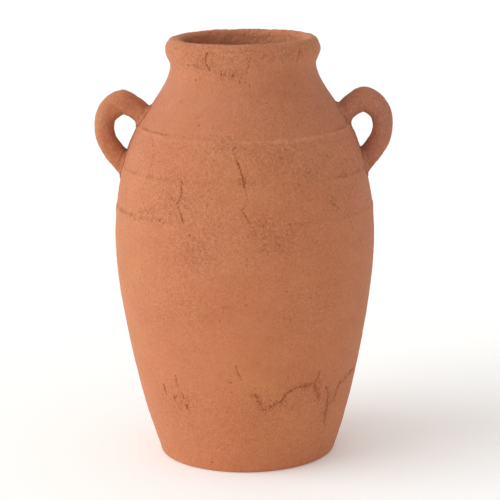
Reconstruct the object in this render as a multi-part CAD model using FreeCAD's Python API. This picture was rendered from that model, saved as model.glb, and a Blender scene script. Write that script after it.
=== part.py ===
"""Flat-based terracotta jar with a rolled rim and two ear-shaped handles.

The wall is made of thrown sections luted one on top of the other, and each handle is luted to
the wall at both of its roots.  Every section, handle and collar of luting clay is its own solid.
Millimetres, +Z up, origin at the centre of the underside, handles on the X axis.
"""
import FreeCAD, Part

import math
import os

from FreeCAD import Placement, Rotation, Vector

# Overall size
HEIGHT = 400.0
MOUTH_RADIUS = 60.0
NECK_RADIUS = 67.0
FOOT_RADIUS = 85.0

# Foot and floor
FOOT_ROUND = 3.0
FLOOR_THICKNESS = 14.0
FLOOR_RADIUS_BELOW = 69.0
FLOOR_RADIUS_ABOVE = 73.0

# Rolled rim: a tight crest beside the mouth runs into the wide outer roll
CREST_RADIUS = 5.0
ROLL_RADIUS = 14.0
MOUTH_DEPTH = 16.0
MOUTH_TOP = HEIGHT - CREST_RADIUS
MOUTH_FOOT = MOUTH_TOP - MOUTH_DEPTH

# Luted joints of the wall: heights, the ridge that keys two sections, the proud lower edge
BELLY_JOINT = 242.0
SHOULDER_JOINT = 279.0
NECK_JOINT = 317.5
KEY_HEIGHT = 4.0
LEDGE = 0.8
LEDGE_RUN = 6.0

# Wall outlines between the foot and the neck, as (radius, height)
WALL_OUTSIDE = [(99.4, 52.0), (115.2, 130.0), (123.4, 208.0), (118.8, 262.0),
                (103.6, 310.0), (82.9, 343.0), (71.8, 361.5)]
WALL_INSIDE = [(87.5, 52.0), (104.3, 130.0), (112.4, 206.0), (107.8, 262.0),
               (91.6, 310.0), (73.8, 340.5), (63.6, 361.0)]

# Handle stations from the upper root to the lower root, as (x, height, thickness, width); the
# stations inside the wall only lead the roll into it
HANDLE_STATIONS = [
    (71.0, 309.0, 20.0, 26.0),
    (82.5, 318.2, 20.0, 25.5),
    (94.0, 327.4, 20.0, 25.0),
    (104.3, 335.6, 21.0, 24.0),
    (113.3, 339.5, 23.2, 24.5),
    (122.8, 334.9, 21.8, 23.5),
    (129.5, 326.6, 19.6, 23.0),
    (131.5, 316.0, 18.8, 22.5),
    (129.8, 305.0, 18.8, 22.5),
    (124.2, 294.6, 19.6, 22.5),
    (116.3, 284.4, 20.2, 23.0),
    (107.0, 273.0, 20.5, 24.0),
    (97.5, 261.4, 21.0, 25.0),
]

# Luting collars, as (x, height, thickness, width) from inside the wall outwards
UPPER_COLLAR = [(80.0, 317.8, 28.0, 36.0), (91.0, 326.2, 24.4, 31.0), (98.0, 331.2, 22.6, 27.0)]
LOWER_COLLAR = [(102.0, 270.0, 30.0, 37.0), (112.0, 280.4, 26.0, 31.0), (118.4, 287.6, 22.8, 25.6)]


def on_section(radius, height):
    return Vector(radius, 0, height)


def smooth_curve(points, end_direction=None):
    curve = Part.BSplineCurve()
    vectors = [on_section(*point) for point in points]
    if end_direction is None:
        curve.interpolate(vectors)
        return curve
    start_direction = vectors[1] - vectors[0]
    curve.interpolate(Points=vectors, InitialTangent=start_direction, FinalTangent=end_direction)
    return curve


def parameter_at(curve, height):
    """Parameter of a curve that climbs steadily, where it reaches a height."""
    low, high = curve.FirstParameter, curve.LastParameter
    for _ in range(60):
        middle = (low + high) / 2
        if curve.value(middle).z < height:
            low = middle
        else:
            high = middle
    return (low + high) / 2


def radius_at(curve, height):
    return curve.value(parameter_at(curve, height)).x


def stretch(curve, bottom, top):
    return curve.toShape(parameter_at(curve, bottom), parameter_at(curve, top))


def line(start, end):
    return Part.LineSegment(start, end).toShape()


def path(points):
    return [line(start, end) for start, end in zip(points, points[1:])]


def revolved(edges):
    """Solid of revolution about Z from the closed loop that the edges make."""
    loop = Part.Wire(Part.__sortEdges__(edges))
    solid = Part.Face(loop).revolve(Vector(0, 0, 0), Vector(0, 0, 1), 360)
    return Part.Solid(solid) if solid.ShapeType == "Shell" else solid


def rim_outline():
    """Centres and ends of the rim's two arcs, and the height of the groove below them."""
    crest_centre = on_section(MOUTH_RADIUS + CREST_RADIUS, MOUTH_TOP)
    shared = Vector(1, 0, 1).normalize()
    meeting = crest_centre + shared * CREST_RADIUS
    roll_centre = meeting - shared * ROLL_RADIUS
    drop = math.sqrt(ROLL_RADIUS ** 2 - (NECK_RADIUS - roll_centre.x) ** 2)
    groove = on_section(NECK_RADIUS, roll_centre.z - drop)
    return crest_centre, meeting, roll_centre, groove


def joint_faces(outer, inner):
    """Key ridge across the wall, from its outer corner to its inner corner."""
    ridge = (outer + inner) / 2 + Vector(0, 0, KEY_HEIGHT)
    return [outer, ridge, inner]


def joint_at(outside, inside, height):
    outer = on_section(radius_at(outside, height), height)
    return joint_faces(outer, on_section(radius_at(inside, height), height))


def ledged_side(outside, bottom, top):
    """Outer side of a section whose top edge stands proud of the section above it."""
    start = top - LEDGE_RUN
    edge = on_section(radius_at(outside, top), top)
    proud = edge + Vector(LEDGE, 0, 0)
    slope = path([on_section(radius_at(outside, start), start), proud, edge])
    return [stretch(outside, bottom, start)] + slope


def lower_wall(outside, inside):
    centre = on_section(FOOT_RADIUS - FOOT_ROUND, FOOT_ROUND)
    corner = centre + Vector(1, 0, -1).normalize() * FOOT_ROUND
    foot = Part.Arc(on_section(centre.x, 0), corner, on_section(FOOT_RADIUS, FOOT_ROUND)).toShape()
    underside = path([on_section(centre.x, 0), on_section(FLOOR_RADIUS_BELOW, 0),
                      on_section(FLOOR_RADIUS_ABOVE, FLOOR_THICKNESS)])
    top = path(joint_at(outside, inside, BELLY_JOINT))
    inner_side = [stretch(inside, FLOOR_THICKNESS, BELLY_JOINT)]
    return revolved([foot] + ledged_side(outside, FOOT_ROUND, BELLY_JOINT) + top + inner_side + underside)


def wall_band(outside, inside, bottom, top):
    below = path(joint_at(outside, inside, bottom))
    above = path(joint_at(outside, inside, top))
    return revolved(ledged_side(outside, bottom, top) + above + [stretch(inside, bottom, top)] + below)


def neck_cone(outside, inside, groove):
    below = path(joint_at(outside, inside, NECK_JOINT))
    above = path(joint_faces(groove, on_section(MOUTH_RADIUS, MOUTH_FOOT)))
    sides = [stretch(outside, NECK_JOINT, groove.z), stretch(inside, NECK_JOINT, MOUTH_FOOT)]
    return revolved(sides + above + below)


def rim_roll(crest_centre, meeting, roll_centre, groove):
    mouth_top = on_section(MOUTH_RADIUS, MOUTH_TOP)
    mouth_foot = on_section(MOUTH_RADIUS, MOUTH_FOOT)
    roll = Part.Arc(groove, roll_centre + Vector(ROLL_RADIUS, 0, 0), meeting).toShape()
    crest = Part.Arc(meeting, crest_centre + Vector(0, 0, CREST_RADIUS), mouth_top).toShape()
    return revolved([roll, crest, line(mouth_top, mouth_foot)] + path(joint_faces(groove, mouth_foot)))


def oval(station, direction):
    x, height, thickness, width = station
    ring = Part.Ellipse(Vector(0, 0, 0), width / 2, thickness / 2).toShape()
    across = Vector(0, 1, 0)
    ring.Placement = Placement(Vector(x, 0, height), Rotation(across, Vector(), direction, "ZXY"))
    return Part.Wire([ring])


def clay_roll(stations, straight_sides):
    """Loft through oval sections that stand square to the line of their centres."""
    centres = [Vector(x, 0, height) for x, height, _, _ in stations]
    rings = []
    for index, station in enumerate(stations):
        before = centres[max(index - 1, 0)]
        after = centres[min(index + 1, len(centres) - 1)]
        rings.append(oval(station, (after - before).normalize()))
    return Part.makeLoft(rings, True, straight_sides, False, 3)


def jar_envelope(outside, meeting, roll_centre, groove):
    """The jar as one filled body, used only to trim what is stuck on its outside."""
    side = [stretch(outside, FOOT_ROUND, groove.z)]
    roll = Part.Arc(groove, roll_centre + Vector(ROLL_RADIUS, 0, 0), meeting).toShape()
    closing = path([meeting, on_section(0, meeting.z), on_section(0, FOOT_ROUND),
                    on_section(FOOT_RADIUS, FOOT_ROUND)])
    return revolved(side + [roll] + closing)


def trimmed(shape, bodies, walls):
    """What stands outside the other bodies and outside the proud edges of the walls."""
    left_over = shape.cut(bodies).cut(walls)
    return max(left_over.Solids, key=lambda solid: solid.Volume)


def mirrored(solid):
    return solid.mirror(Vector(0, 0, 0), Vector(1, 0, 0))


def build():
    rim = rim_outline()
    groove = rim[3]
    outside = smooth_curve([(FOOT_RADIUS, FOOT_ROUND)] + WALL_OUTSIDE + [(groove.x, groove.z)])
    inside = smooth_curve([(FLOOR_RADIUS_ABOVE, FLOOR_THICKNESS)] + WALL_INSIDE
                          + [(MOUTH_RADIUS, MOUTH_FOOT)], Vector(0, 0, 1))

    nodes = {
        "base_disc": Part.makeCone(FLOOR_RADIUS_BELOW, FLOOR_RADIUS_ABOVE, FLOOR_THICKNESS),
        "lower_wall": lower_wall(outside, inside),
        "belly_band": wall_band(outside, inside, BELLY_JOINT, SHOULDER_JOINT),
        "shoulder_band": wall_band(outside, inside, SHOULDER_JOINT, NECK_JOINT),
        "neck_cone": neck_cone(outside, inside, groove),
        "rim_roll": rim_roll(*rim),
    }

    walls = [nodes["lower_wall"], nodes["belly_band"], nodes["shoulder_band"], nodes["neck_cone"]]
    envelope = jar_envelope(outside, *rim[1:])
    whole_handle = clay_roll(HANDLE_STATIONS, False)
    right_side = {
        "handle": trimmed(whole_handle, [envelope], walls),
        "upper_luting": trimmed(clay_roll(UPPER_COLLAR, True), [whole_handle, envelope], walls),
        "lower_luting": trimmed(clay_roll(LOWER_COLLAR, True), [whole_handle, envelope], walls),
    }
    for name, solid in right_side.items():
        nodes["right_" + name] = solid
        nodes["left_" + name] = mirrored(solid)
    return nodes


def main():
    os.makedirs("parts", exist_ok=True)
    for name, solid in build().items():
        solid.exportStep("parts/" + name + ".step")
        box = solid.BoundBox
        print(f"{name}: valid {solid.isValid()}, {solid.Volume / 1000:.1f} cm3, "
              f"height {box.ZMin:.1f} to {box.ZMax:.1f}, reach {box.XMax:.1f}")


main()
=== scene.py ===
"""Looks of a flat-based terracotta jar with a rolled rim and two ear-shaped handles.

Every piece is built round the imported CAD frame, in metres.  The wall's outline is read from the
frame, then covered with a skin: one grid of heights over the whole outside and one over the
inside.  Ledges, cracks, pits and throwing marks are pressed into that skin, and each wall section
takes its own rows of it, so the sections still meet.
Angles round the jar are in degrees: 0 faces the camera (-Y), 90 is the right handle (+X).
"""

import math

import bpy
import numpy as np
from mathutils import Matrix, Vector


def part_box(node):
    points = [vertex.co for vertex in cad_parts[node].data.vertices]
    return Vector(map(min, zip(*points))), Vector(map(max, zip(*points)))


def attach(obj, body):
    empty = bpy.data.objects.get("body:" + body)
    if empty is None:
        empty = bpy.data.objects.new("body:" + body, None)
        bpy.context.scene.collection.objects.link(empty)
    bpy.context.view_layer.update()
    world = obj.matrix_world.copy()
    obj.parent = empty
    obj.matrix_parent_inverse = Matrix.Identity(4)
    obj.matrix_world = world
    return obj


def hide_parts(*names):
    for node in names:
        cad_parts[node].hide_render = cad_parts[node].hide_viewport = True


MM = 0.001

# The same few measures as in the frame
TOP = 400.0 * MM
MOUTH_RADIUS = 60.0 * MM
NECK_RADIUS = 67.0 * MM
FOOT_RADIUS = 85.0 * MM
FOOT_ROUND = 3.0 * MM
CREST_RADIUS = 5.0 * MM
ROLL_RADIUS = 14.0 * MM
MOUTH_DEPTH = 16.0 * MM

# Skin grid
COLUMNS = 960
NOISE_ROWS = 24
OUTSIDE_STEP = 0.8 * MM
INSIDE_STEP = 2.6 * MM
FACE_LIMIT = 190000
SHARP_EDGE = math.radians(55)

# Mark given to fully torn clay, which the material breaks into flecks
TORN_MARK = 0.26

# Random pits: in a coarse patch of full strength, and alone over the whole outside
PATCH_PITS = 70
LONE_PITS = 1700

# Thumb-wiped hollow below the rim, and how far the rim leans out over the left handle
GROOVE_REACH = 10.0 * MM
GROOVE_PASSES = 34
RIM_LEAN = 3.4 * MM

# Width of the finger marks that climb round the inside
FINGER = 9.0 * MM

# Luted ledges of the wall
LEDGE = 0.85 * MM
LEDGE_RISE = 11.0 * MM
LEDGE_FALL = 1.7 * MM

# Handle stations as (x, height, thickness, width) in mm: the same roll of clay as in the frame
HANDLE_STATIONS = [
    (82.5, 318.2, 20.0, 25.5), (94.0, 327.4, 20.0, 25.0), (104.3, 335.6, 21.0, 24.0),
    (113.3, 339.5, 23.2, 24.5), (122.8, 334.9, 21.8, 23.5), (129.5, 326.6, 19.6, 23.0),
    (131.5, 316.0, 18.8, 22.5), (129.8, 305.0, 18.8, 22.5), (124.2, 294.6, 19.6, 22.5),
    (116.3, 284.4, 20.2, 23.0), (107.0, 273.0, 20.5, 24.0),
]

# How blunt the roll's oval section is, how deep it runs into the wall, and how finely it is drawn
BLUNTNESS = 2.35
ROOT_DEPTH = 4.0 * MM
ROOT_HALVINGS = 30
HANDLE_AROUND = 112
HANDLE_ALONG = 240
HANDLE_SAND = 1.0

# Lutings: points round the roll and across the face, sandiness, and painted shade of the rows at the lip
LUTING_AROUND = 240
LUTING_STEPS = 14
LUTING_SAND = 1.2
LIP_SHADE = (0.15, 0.3, 0.5, 0.8, 1, 1, 1)

# Places at which the tool line round a root is pressed
SCORE_POINTS = 150

# Heights between which the handles lie on the wall, and the step of the table of its radius
TABLE_LOW = 245.0 * MM
TABLE_HIGH = 376.0 * MM
TABLE_STEP = 0.8 * MM

# Floor slab: rings of its two faces, and the radius of the innermost ring
FLOOR_RINGS = (24, 36)
FLOOR_EYE = 2.0 * MM

# The crease round each root: how open it is and how dark its painted shade
ROOT_GAPS = {
    "left_upper_luting": 1.7, "left_lower_luting": 0.8,
    "right_upper_luting": 0.9, "right_lower_luting": 1.9,
}

# Which way each handle points, and its two roots: whether each is the upper one
SIDES = {"left": -1, "right": 1}
ROOTS = {"upper": True, "lower": False}

# Crumbs of clay left on the handles, as (x, y, height, radius, rise) in mm
CRUMBS = [
    (121.0, -5.0, 312.0, 2.2, 1.3), (117.0, -6.0, 303.5, 1.6, 1.7), (119.5, 4.0, 322.0, 2.0, 0.9),
    (-120.5, -4.0, 318.0, 2.4, 0.7), (-113.0, 6.0, 349.0, 3.0, 0.8),
]

# Cracks as a name, a width and a depth in mm, and a route of (angle, height in mm).  Most places on
# the front were picked by eye and worked out by a separate program; those at the back are invented.
CRACKS = [
    ("shoulder_high", 0.7, 0.55, [(-5.7, 313), (-4.4, 305), (-3.4, 301)]),
    ("shoulder", 1.0, 1.05, [(-3.4, 301), (-2.4, 297), (-1.5, 293.5), (-0.6, 287), (0.2, 277)]),
    ("belly", 0.7, 0.5, [(0.2, 277), (1.5, 269.5), (0.8, 263), (-1.2, 258)]),
    ("belly_low", 0.95, 0.8, [(-1.2, 258), (0.5, 252), (2.6, 245.5)]),
    ("band", 1.0, 0.95, [(-29.3, 281), (-28.6, 269), (-30.8, 261), (-29, 255), (-26.7, 243)]),
    ("side", 0.8, 0.6, [(-54.8, 313), (-51, 305), (-49.3, 297), (-49.5, 288), (-50.3, 279)]),
    ("side_low", 0.75, 0.55, [(-50.3, 279), (-52.5, 265), (-51.3, 260), (-47, 250.5)]),
    ("right", 0.8, 0.55, [(40.6, 261), (45.9, 250.5)]),
    ("right_low", 0.9, 0.6, [(51.9, 237.5), (54.7, 227)]),
    ("smear_one", 0.8, 0.6, [(56, 296), (60, 284), (63, 272)]),
    ("smear_two", 0.8, 0.6, [(60.5, 298), (65, 285), (67.5, 273)]),
    ("smear_three", 0.8, 0.6, [(52, 291), (55, 281)]),
    ("smear_four", 0.9, 0.7, [(68, 304), (71, 293), (72, 286)]),
    ("rim_left", 1.15, 1.15, [(-26.6, 392), (-27.8, 384.5), (-27.7, 380), (-25.6, 375)]),
    ("rim_crest", 0.7, 0.55, [(-13, 393.4), (-7, 394.2), (-3, 393.6), (5, 394.6), (13, 394.2)]),
    ("rim_shelf", 0.6, 0.4, [(-40, 392), (-31, 393), (-20, 392.6)]),
    ("pit_ring", 0.6, 0.6, [(-9.4, 371.5), (-7.9, 373.6), (-6, 372), (-7.6, 370.2), (-9.4, 371.5)]),
    ("rim_front", 0.95, 0.6, [(6.2, 391), (5.1, 386), (4.5, 381.5), (3.1, 377.5)]),
    ("rim_right", 1.3, 1.1, [(46.3, 393), (44.8, 387.5), (43.9, 381)]),
    ("wall_left", 0.6, 0.35, [(-50.4, 200), (-49.1, 177), (-50.8, 166), (-46.6, 150)]),
    ("wall_front", 1.0, 0.8, [(-4.9, 112), (-4.2, 106), (-2.6, 98)]),
    ("wall_front_tail", 0.7, 0.5, [(-9, 96.5), (-6.5, 96)]),
    ("foot_left", 0.8, 0.5, [(-33.3, 48), (-29.7, 44.5)]),
    ("foot_scratch", 0.7, 0.4, [(-56.3, 53.5), (-49.7, 49)]),
    ("scratch_one", 1.3, 1.0, [(-47.2, 84), (-46.2, 73.5)]),
    ("scratch_two", 1.1, 0.9, [(-37.2, 96), (-36.8, 84)]),
    ("scratch_three", 1.1, 0.9, [(-40.8, 75.5), (-40, 68)]),
    ("scratch_four", 1.1, 0.9, [(-35.1, 80), (-34.2, 73)]),
    ("scratch_five", 1.4, 1.2, [(-33.4, 68.5), (-32.9, 63.5)]),
    ("net_west", 1.0, 0.85, [(4, 82.6), (6, 74.3), (8.2, 66.8), (10.2, 67.6), (14.4, 71.1)]),
    ("net_middle", 1.15, 1.0, [(14.4, 71.1), (17.5, 73.6), (19.9, 81.3), (25.7, 85.9), (36.3, 86.5)]),
    ("net_north", 0.9, 0.7, [(36.3, 86.5), (38.5, 97.8)]),
    ("net_south", 1.1, 1.0, [(36.3, 86.5), (38.2, 77.8), (40.7, 68.4)]),
    ("net_east", 1.1, 0.95, [(44.6, 79), (47.2, 71), (48.2, 50), (48.3, 40)]),
    ("net_far_east", 1.0, 0.85, [(72.3, 85.6), (61.3, 82.3), (54.9, 77.4), (53.8, 67.7), (50.4, 61)]),
    ("back_neck", 1.2, 1.0, [(168, 317), (171, 308), (169, 300), (172, 289), (171, 280)]),
    ("back_belly", 0.8, 0.5, [(-150, 262), (-147, 250), (-149, 243), (-146, 228)]),
    ("back_foot", 0.8, 0.55, [(150, 96), (156, 90), (163, 88), (168, 79), (176, 77)]),
    ("back_foot_branch", 0.7, 0.45, [(163, 88), (161, 74), (164, 62)]),
    ("back_rim", 1.0, 0.8, [(-160, 393), (-158, 386), (-161, 379)]),
    ("right_rim_back", 0.8, 0.6, [(115, 391), (117, 385), (116, 380)]),
]

# Deep pits as (angle, height in mm, radius in mm, depth in mm), placed in the same way
PITS = [
    (-10, 317, 1.1, 0.8), (-8.2, 315.5, 1.4, 1.0), (-4.1, 312, 1.2, 1.0), (-1.2, 396, 1.3, 0.8),
    (-52.6, 248.5, 1.3, 0.9), (-39.5, 244.5, 1.7, 1.1), (-37, 243, 1.3, 0.8), (-45.3, 379, 1.5, 1.0),
    (-38.8, 380, 1.6, 1.0), (-38.3, 367, 1.3, 0.9), (-16.5, 373, 1.3, 0.9), (-13.3, 373, 1.2, 0.9),
    (-7.8, 372, 1.6, 1.0), (-2.3, 367, 1.4, 0.9), (2.1, 366, 1.2, 0.8),
    (5, 363.3, 1.3, 0.9), (-67, 343, 1.2, 0.8), (-61.9, 341.4, 1.1, 0.7), (-45.8, 348, 1.3, 0.8),
    (-26.1, 330, 1.2, 0.8), (-33.7, 265.6, 1.6, 1.0), (44.1, 299.5, 1.5, 0.9),
    (29.3, 286.2, 1.2, 0.7), (-23.8, 234.4, 1.3, 0.9), (20.8, 309, 1.2, 0.8), (18.4, 301, 1.2, 0.8),
    (21.7, 304, 1.0, 0.6), (25.1, 278.3, 1.6, 1.1), (19.3, 243.3, 1.5, 0.9), (24.8, 241.5, 1.3, 0.8),
    (22, 243, 1.2, 0.8), (-9.4, 169, 1.3, 0.8), (-9.6, 164, 1.1, 0.7), (0.5, 171, 1.3, 0.8),
    (-11.4, 156, 1.4, 0.8), (16.7, 157.7, 1.3, 0.8), (17.2, 152, 1.0, 0.6), (17.7, 182.5, 1.2, 0.7),
    (21.2, 130.3, 1.1, 0.7), (-7.7, 95, 1.4, 0.9), (-46.9, 78, 1.6, 0.9), (-37.1, 90, 1.3, 0.8),
    (-39, 74, 1.3, 0.8), (-36, 70, 1.4, 0.9), (-33.2, 65.6, 2.1, 1.4), (-31.6, 63, 1.2, 0.8),
    (-22.4, 8.6, 1.6, 0.7), (-24, 6, 1.2, 0.6), (140, 330, 1.5, 1.0), (-120, 352, 1.4, 0.9),
    (175, 205, 1.4, 0.9), (-165, 160, 1.3, 0.8), (125, 120, 1.6, 1.0), (-130, 70, 1.8, 1.1),
]

# Coarse patches as (angle, height in mm, half-width in mm, half-height in mm, strength)
COARSE_PATCHES = [
    (-20, 219, 22, 20, 1.0), (11, 227, 34, 17, 1.0), (-36, 70, 16, 14, 0.8), (19, 304, 14, 10, 0.8),
    (-10, 314, 16, 9, 0.9), (20, 75, 34, 20, 0.6), (48, 62, 8, 20, 1.0), (32, 86, 16, 5, 1.0),
    (84, 285, 12, 20, 1.0), (-84, 285, 12, 20, 1.0), (-30, 262, 16, 14, 0.6), (0, 283, 9, 6, 1.1),
    (-30, 385, 18, 6, 0.5), (0, 388, 18, 6, 0.5), (32, 386, 18, 6, 0.4), (-11, 372, 20, 6, 1.0),
    (-30, 378, 14, 5, 0.7), (-48, 250, 22, 5, 1.0), (8, 244, 9, 5, 0.9),
    (30, 288, 12, 9, 0.9), (42, 260, 8, 8, 0.7), (-170, 215, 36, 22, 1.0), (120, 300, 22, 14, 0.8),
    (-110, 95, 30, 22, 0.8), (95, 160, 26, 24, 0.6), (60, 215, 26, 16, 0.6),
]

# How rough each seam's crease is and how strong the painted highlight on its proud edge, as (angle, crease,
# highlight) round the jar
SEAMS = {
    "belly": [(-180, 0.9, 0.7), (-95, 1.4, 0.6), (-60, 2.2, 0.5), (-36, 1.7, 0.4), (-20, 0.5, 0.3),
              (0, 0.25, 0.3), (24, 0.5, 0.4), (60, 0.55, 0.5), (110, 0.9, 0.7), (180, 0.8, 0.7)],
    "shoulder": [(-180, 0.8, 0.6), (-95, 1.0, 0.6), (-50, 1.4, 0.6), (-22, 1.4, 0.5), (0, 0.5, 0.3),
                 (32, 0.4, 0.3), (52, 2.0, 0.8), (90, 1.5, 0.7), (130, 0.7, 0.5), (180, 0.8, 0.6)],
    "neck": [(-180, 0.9, 0.6), (-95, 1.1, 0.6), (-45, 1.2, 0.6), (-14, 0.8, 0.4), (4, 0.3, 1.0),
             (30, 0.15, 1.5), (58, 0.3, 1.3), (90, 0.9, 0.8), (130, 0.7, 0.6), (180, 0.8, 0.6)],
}

# Camera, fitted to how flat the mouth, the ledges and the foot look
CAMERA_DISTANCE = 1.8
CAMERA_HEIGHT = 0.607
CAMERA_AIM = (0.0046, 0.0, 0.1952)
CAMERA_ROLL = -0.684
LENS = 138.7


# Clay colours
UPPER_CLAY = (0.448, 0.162, 0.081)
LOWER_CLAY = (0.485, 0.155, 0.054)
HANDLE_TOP_CLAY = (0.505, 0.184, 0.088)
# Painted shade: the handles' lower clay is a darker copy of the upper
HANDLE_LOW_SHADE_CLAY = (0.360, 0.108, 0.047)
RED_CLAY = (0.470, 0.138, 0.058)
OCHRE_CLAY = (0.500, 0.182, 0.062)
DEEP_CLAY = (0.405, 0.118, 0.042)
PALE_CLAY = (0.530, 0.210, 0.098)
# Pale clay for rubbed places, and for painted light under the roll, on ledge edges and inside
RUBBED_CLAY_AND_PAINTED_LIGHT = (0.600, 0.250, 0.125)
# Painted shade on the neck's upward slope
NECK_SHADE_CLAY = (0.400, 0.142, 0.076)
# Painted shade: greyer clay on the jar's right side, where the right handle lies in shade
RIGHT_SIDE_SHADE_CLAY = (0.225, 0.108, 0.108)
DARK_GRAIN = (0.260, 0.058, 0.013)
PALE_GRAIN = (0.650, 0.285, 0.150)
# Dirt and painted shade in cracks, pits, creases and root lines
CRACK_DIRT_AND_SHADE = (0.280, 0.060, 0.010)

# Strength of the sky's light straight ahead and overhead, and its share from each side
HORIZON_LIGHT = 1.08
ZENITH_LIGHT = 0.66
LEFT_LIGHT = 1.10
RIGHT_LIGHT = 0.80
SKY_COLOUR = (1.0, 0.96, 0.915, 1.0)
WHITE = (1.0, 1.0, 1.0, 1.0)

# Broad key light from the left, in degrees from the camera's side and above the horizon
KEY_TURN = 75.0
KEY_CLIMB = 22.0
KEY_WIDTH = 60.0
KEY_STRENGTH = 1.95
KEY_COLOUR = (1.0, 1.075, 1.08)

# Studio floor, sunk so that the foot does not share its plane
FLOOR_HALF = 14.0
FLOOR_SUNK = 0.0002
FLOOR_COLOUR = (0.94, 0.955, 0.97, 1.0)
FLOOR_GLOW = 0.1


# ---------------------------------------------------------------- noise

def lattice_value(ix, iy, iz, seed):
    """Repeatable value from -1 to 1 for each lattice point."""
    mixed = (ix * 374761393 + iy * 668265263 + iz * 1274126177 + seed * 1103515245) & 0xFFFFFFFF
    mixed = ((mixed ^ (mixed >> 13)) * 1274126177) & 0xFFFFFFFF
    mixed = mixed ^ (mixed >> 16)
    return mixed / 2147483647.5 - 1.0


def noise(points, size, seed):
    """Smooth value noise in space, from about -1 to 1, with features of one size."""
    if points.ndim > 2 and len(points) > NOISE_ROWS:
        blocks = [points[row:row + NOISE_ROWS] for row in range(0, len(points), NOISE_ROWS)]
        return np.concatenate([noise(block, size, seed) for block in blocks])
    scaled = points / size
    cell = np.floor(scaled).astype(np.int64)
    part = scaled - cell
    part = part * part * part * (part * (part * 6 - 15) + 10)
    total = np.zeros(points.shape[:-1])
    for dx in (0, 1):
        wx = part[..., 0] if dx else 1 - part[..., 0]
        for dy in (0, 1):
            wy = part[..., 1] if dy else 1 - part[..., 1]
            for dz in (0, 1):
                wz = part[..., 2] if dz else 1 - part[..., 2]
                corner = lattice_value(cell[..., 0] + dx, cell[..., 1] + dy, cell[..., 2] + dz, seed)
                total += wx * wy * wz * corner
    return total


def layered(points, *layers):
    """A sum of noises, each given as its strength, its size in mm and its seed."""
    return sum(strength * noise(points, size * MM, seed) for strength, size, seed in layers)


def drawn_out(points, across, up):
    """Points squeezed along an axis, so that noise taken at them is drawn out along it."""
    return points * np.array([across, across, up])


def smooth_step(low, high, value):
    t = np.clip((value - low) / (high - low), 0.0, 1.0)
    return t * t * (3 - 2 * t)


def bell(value, width):
    """1 where the value is 0, falling away over a width on both sides."""
    return np.exp(-(value / width) ** 2)


def full_turn(count):
    return np.linspace(0, 2 * math.pi, count, endpoint=False)


# ---------------------------------------------------------------- outline read from the frame

def node_vertices(node):
    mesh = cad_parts[node].data
    flat = np.empty(len(mesh.vertices) * 3)
    mesh.vertices.foreach_get("co", flat)
    return flat.reshape(-1, 3)


def section_segments(node):
    """Where the half-plane through +X cuts a node: segments as (r, z, r, z)."""
    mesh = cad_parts[node].data
    points = node_vertices(node)
    mesh.calc_loop_triangles()
    flat = np.empty(len(mesh.loop_triangles) * 3, dtype=np.int32)
    mesh.loop_triangles.foreach_get("vertices", flat)
    corners = points[flat.reshape(-1, 3)]
    turn = math.radians(0.37)
    along = corners[..., 0] * math.cos(turn) + corners[..., 1] * math.sin(turn)
    off = corners[..., 1] * math.cos(turn) - corners[..., 0] * math.sin(turn)
    segments = []
    for a, o, z in zip(along, off, corners[..., 2]):
        ends = []
        for i, j in ((0, 1), (1, 2), (2, 0)):
            if (o[i] > 0) != (o[j] > 0):
                t = o[i] / (o[i] - o[j])
                ends.append((a[i] + t * (a[j] - a[i]), z[i] + t * (z[j] - z[i])))
        if len(ends) == 2 and ends[0][0] > 0:
            segments.append(ends[0] + ends[1])
    return np.array(segments)


def wall_radius(segments, height, outer):
    """Radius of the outermost or innermost wall surface at a height."""
    r0, z0, r1, z1 = segments.T
    crossing = (z0 > height) != (z1 > height)
    t = (height - z0[crossing]) / (z1[crossing] - z0[crossing])
    radii = r0[crossing] + t * (r1[crossing] - r0[crossing])
    return radii.max() if outer else radii.min()


def fair_curve(knots, values, where):
    """Catmull-Rom curve through values at knots."""
    slopes = np.gradient(values, knots)
    k = np.clip(np.searchsorted(knots, where) - 1, 0, len(knots) - 2)
    h = knots[k + 1] - knots[k]
    t = (where - knots[k]) / h
    return ((1 + 2 * t) * (1 - t) ** 2 * values[k] + t * (1 - t) ** 2 * h * slopes[k]
            + t * t * (3 - 2 * t) * values[k + 1] + t * t * (t - 1) * h * slopes[k + 1])


def spaced(points, step):
    """A polyline's points again, evenly spaced along it."""
    points = np.array(points)
    lengths = np.concatenate([[0], np.cumsum(np.linalg.norm(np.diff(points, axis=0), axis=1))])
    count = max(2, int(round(lengths[-1] / step)) + 1)
    at = np.linspace(0, lengths[-1], count)
    return np.stack([np.interp(at, lengths, points[:, axis]) for axis in (0, 1)], axis=1)


def arc(centre, radius, start, end, steps=24):
    angles = np.radians(np.linspace(start, end, steps))
    return [(centre[0] + radius * math.cos(a), centre[1] + radius * math.sin(a)) for a in angles]


# ---------------------------------------------------------------- skin

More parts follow.
